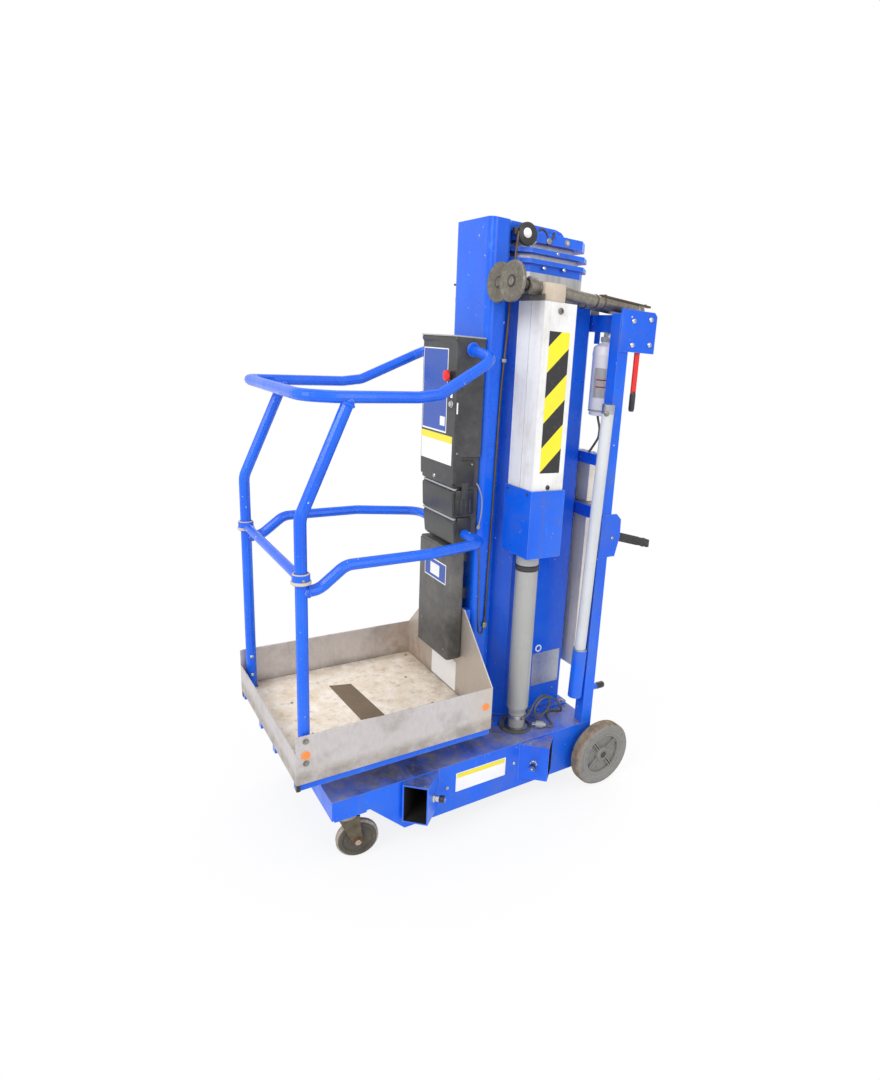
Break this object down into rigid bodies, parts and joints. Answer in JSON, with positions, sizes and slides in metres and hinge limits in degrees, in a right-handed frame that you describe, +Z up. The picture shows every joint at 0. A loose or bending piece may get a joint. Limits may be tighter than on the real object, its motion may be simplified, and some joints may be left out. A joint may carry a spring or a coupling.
{
  "type": "vertical mast lift",
  "caption": "Push-around mast lift: a stowed telescopic mast on a small wheeled base carries a caged standing platform; outrigger beams and jacks ride upright beside the mast.",
  "frame": {"origin": "on the floor, under the middle of the machine's bounding box", "axes": "+Z up; the platform is at the front, towards -Y; +X is the machine's left-hand side, seen from its rear towards its front"},
  "size_m": [0.7642, 1.31, 1.98],
  "materials": {
    "blue_paint": "gloss, worn and scratched",
    "blue_paint_mast": "gloss, worn",
    "blue_paint_carriage": "gloss, worn",
    "bare_steel": "bright, lightly stained",
    "mast_steel": "bright, lightly stained",
    "platform_aluminium": "brushed, dull",
    "beam_aluminium": "dull",
    "plywood": "faced and scuffed",
    "tyre_rubber": "grey, dusty",
    "castor_rubber": "dark, dusty",
    "castor_steel": "dull",
    "console_plastic": "satin black",
    "box_plastic": "satin black",
    "grip_rubber": "matt",
    "white_paint": "satin",
    "reservoir_plastic": "satin",
    "beige_paint": "satin",
    "grey_paint": "satin",
    "jack_steel": "worn and rusty"
  },
  "bodies": {
    "base": {"chassis": "blue_paint", "rear_axle": "bare_steel", "socket_front_left": "blue_paint", "socket_rear_left": "blue_paint", "socket_front_right": "blue_paint", "socket_rear_right": "blue_paint", "mast_outer": "blue_paint_mast", "mast_foot": "blue_paint_mast", "rear_frame": "blue_paint", "strut": "white_paint", "oil_reservoir": "reservoir_plastic", "power_unit": "beige_paint", "rear_cover": "beige_paint", "handle_grip_left": "grip_rubber", "stow_sleeve_left": "blue_paint", "stow_column_left": "grey_paint", "outrigger_beam_left_1": "beam_aluminium", "outrigger_jack_left_1": "jack_steel", "outrigger_beam_left_2": "beam_aluminium", "outrigger_jack_left_2": "jack_steel", "handle_grip_right": "grip_rubber", "stow_sleeve_right": "blue_paint", "stow_column_right": "grey_paint", "outrigger_beam_right_1": "beam_aluminium", "outrigger_jack_right_1": "jack_steel", "outrigger_beam_right_2": "beam_aluminium", "outrigger_jack_right_2": "jack_steel"},
    "castor_swivel_left": {"castor_fork_left": "castor_steel"},
    "castor_roller_left": {"castor_wheel_left": "castor_rubber"},
    "rear_roller_left": {"rear_wheel_left": "tyre_rubber"},
    "castor_swivel_right": {"castor_fork_right": "castor_steel"},
    "castor_roller_right": {"castor_wheel_right": "castor_rubber"},
    "rear_roller_right": {"rear_wheel_right": "tyre_rubber"},
    "mast_stage_1": {"mast_section_1": "mast_steel"},
    "mast_stage_2": {"mast_section_2": "mast_steel"},
    "carriage": {"mast_section_3": "mast_steel", "carriage_column": "blue_paint_carriage", "platform_tray": "platform_aluminium", "platform_floor": "plywood", "platform_frame": "blue_paint_carriage", "top_rail": "blue_paint_carriage", "cage_post_left": "blue_paint_carriage", "cage_post_right": "blue_paint_carriage", "mid_rail_left": "blue_paint_carriage", "mid_rail_right": "blue_paint_carriage", "control_console": "console_plastic", "lower_box": "box_plastic"},
    "entry_gate": {"entry_bar": "blue_paint_carriage"}
  },
  "joints": [
    {"name": "castor_swivel_left", "type": "hinge", "parent": "base", "child": "castor_swivel_left", "pos_m": [0.262, -0.492, 0.1714], "axis": [0, 0, 1], "continuous": true},
    {"name": "castor_roll_left", "type": "hinge", "parent": "castor_swivel_left", "child": "castor_roller_left", "pos_m": [0.26965, -0.45887, 0.065], "axis": [0.9744, -0.225, 0], "continuous": true},
    {"name": "rear_roll_left", "type": "hinge", "parent": "base", "child": "rear_roller_left", "pos_m": [0.354, 0.463, 0.125], "axis": [1, 0, 0], "continuous": true},
    {"name": "castor_swivel_right", "type": "hinge", "parent": "base", "child": "castor_swivel_right", "pos_m": [-0.262, -0.492, 0.1714], "axis": [0, 0, 1], "continuous": true},
    {"name": "castor_roll_right", "type": "hinge", "parent": "castor_swivel_right", "child": "castor_roller_right", "pos_m": [-0.25037, -0.46005, 0.065], "axis": [0.9397, -0.342, 0], "continuous": true},
    {"name": "rear_roll_right", "type": "hinge", "parent": "base", "child": "rear_roller_right", "pos_m": [-0.354, 0.463, 0.125], "axis": [1, 0, 0], "continuous": true},
    {"name": "mast_lift_1", "type": "slide", "parent": "base", "child": "mast_stage_1", "axis": [0, 0, 1], "range_m": [0, 1.45]},
    {"name": "mast_lift_2", "type": "slide", "parent": "mast_stage_1", "child": "mast_stage_2", "axis": [0, 0, 1], "range_m": [0, 1.45]},
    {"name": "mast_lift_3", "type": "slide", "parent": "mast_stage_2", "child": "carriage", "axis": [0, 0, 1], "range_m": [0, 1.45]},
    {"name": "entry_bar_lift", "type": "slide", "parent": "carriage", "child": "entry_gate", "axis": [0, 0, 1], "range_m": [0, 0.13]}
  ],
  "couplings": [
    {"joint": "mast_lift_2", "follows": "mast_lift_1", "ratio": 1},
    {"joint": "mast_lift_3", "follows": "mast_lift_1", "ratio": 1}
  ]
}
